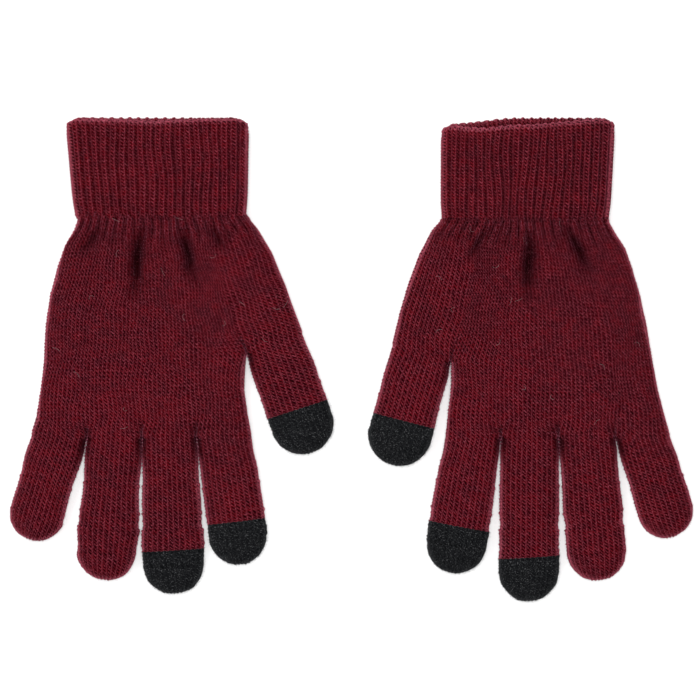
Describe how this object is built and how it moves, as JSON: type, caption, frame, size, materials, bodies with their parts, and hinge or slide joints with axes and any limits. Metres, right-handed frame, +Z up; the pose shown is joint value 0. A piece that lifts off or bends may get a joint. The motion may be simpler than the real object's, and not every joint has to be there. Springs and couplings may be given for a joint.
{
  "type": "touchscreen gloves",
  "caption": "Pair of knitted stretch gloves with double ribbed cuffs and black conductive tips on thumbs, index and middle fingers.",
  "frame": {"origin": "on the table, under the middle of the pair as it lies", "axes": "+Z up from the table, +Y towards the cuffs, +X from the left-hand glove of the picture to the right-hand one"},
  "size_m": [0.2906, 0.2054, 0.0112],
  "materials": {
    "knit_burgundy": "plain jersey knit",
    "rib_burgundy": "rib knit",
    "touch_black": "fuzzy jersey knit with grey conductive fibre",
    "elastic_white": "covered elastic yarn"
  },
  "bodies": {
    "left_palm": {"left_palm": "knit_burgundy"},
    "left_cuff": {"left_cuff": "rib_burgundy", "left_cuff_elastic": "elastic_white"},
    "left_little_finger": {"left_little_finger": "knit_burgundy"},
    "left_ring_finger": {"left_ring_finger": "knit_burgundy"},
    "left_middle_finger": {"left_middle_finger": "knit_burgundy", "left_middle_finger_touch_tip": "touch_black"},
    "left_index_finger": {"left_index_finger": "knit_burgundy", "left_index_finger_touch_tip": "touch_black"},
    "left_thumb": {"left_thumb": "knit_burgundy", "left_thumb_touch_tip": "touch_black"},
    "right_palm": {"right_palm": "knit_burgundy"},
    "right_cuff": {"right_cuff": "rib_burgundy", "right_cuff_elastic": "elastic_white"},
    "right_little_finger": {"right_little_finger": "knit_burgundy"},
    "right_ring_finger": {"right_ring_finger": "knit_burgundy"},
    "right_middle_finger": {"right_middle_finger": "knit_burgundy", "right_middle_finger_touch_tip": "touch_black"},
    "right_index_finger": {"right_index_finger": "knit_burgundy", "right_index_finger_touch_tip": "touch_black"},
    "right_thumb": {"right_thumb": "knit_burgundy", "right_thumb_touch_tip": "touch_black"}
  },
  "joints": [
    {"name": "left_wrist_fold", "type": "hinge", "parent": "left_palm", "child": "left_cuff", "pos_m": [-0.08115, 0.0606, 0.0112], "axis": [1, 0, 0], "range_deg": [0, 75]},
    {"name": "left_little_finger_bend", "type": "hinge", "parent": "left_palm", "child": "left_little_finger", "pos_m": [-0.1245, -0.0333, 0.009], "axis": [-1, 0, 0], "range_deg": [0, 90]},
    {"name": "left_ring_finger_bend", "type": "hinge", "parent": "left_palm", "child": "left_ring_finger", "pos_m": [-0.1008, -0.0333, 0.009], "axis": [-1, 0, 0], "range_deg": [0, 90]},
    {"name": "left_middle_finger_bend", "type": "hinge", "parent": "left_palm", "child": "left_middle_finger", "pos_m": [-0.07755, -0.0333, 0.009], "axis": [-1, 0, 0], "range_deg": [0, 90]},
    {"name": "left_index_finger_bend", "type": "hinge", "parent": "left_palm", "child": "left_index_finger", "pos_m": [-0.05425, -0.0333, 0.009], "axis": [-1, 0, 0], "range_deg": [0, 90]},
    {"name": "left_thumb_bend", "type": "hinge", "parent": "left_palm", "child": "left_thumb", "pos_m": [-0.0329, 0.0062, 0.009], "axis": [-0.9447, -0.328, 0], "range_deg": [0, 70]},
    {"name": "right_wrist_fold", "type": "hinge", "parent": "right_palm", "child": "right_cuff", "pos_m": [0.074, 0.0606, 0.0112], "axis": [1, 0, 0], "range_deg": [0, 75]},
    {"name": "right_little_finger_bend", "type": "hinge", "parent": "right_palm", "child": "right_little_finger", "pos_m": [0.12405, -0.0333, 0.009], "axis": [-1, 0, 0], "range_deg": [0, 90]},
    {"name": "right_ring_finger_bend", "type": "hinge", "parent": "right_palm", "child": "right_ring_finger", "pos_m": [0.10025, -0.0333, 0.009], "axis": [-1, 0, 0], "range_deg": [0, 90]},
    {"name": "right_middle_finger_bend", "type": "hinge", "parent": "right_palm", "child": "right_middle_finger", "pos_m": [0.07595, -0.0333, 0.009], "axis": [-1, 0, 0], "range_deg": [0, 90]},
    {"name": "right_index_finger_bend", "type": "hinge", "parent": "right_palm", "child": "right_index_finger", "pos_m": [0.0518, -0.0333, 0.009], "axis": [-1, 0, 0], "range_deg": [0, 90]},
    {"name": "right_thumb_bend", "type": "hinge", "parent": "right_palm", "child": "right_thumb", "pos_m": [0.0299, 0.0021, 0.009], "axis": [-0.9678, 0.2517, 0], "range_deg": [0, 70]},
    {"name": "right_glove_lift", "type": "slide", "parent": "left_palm", "child": "right_palm", "axis": [0, 0, 1], "range_m": [0, 0.1]}
  ]
}
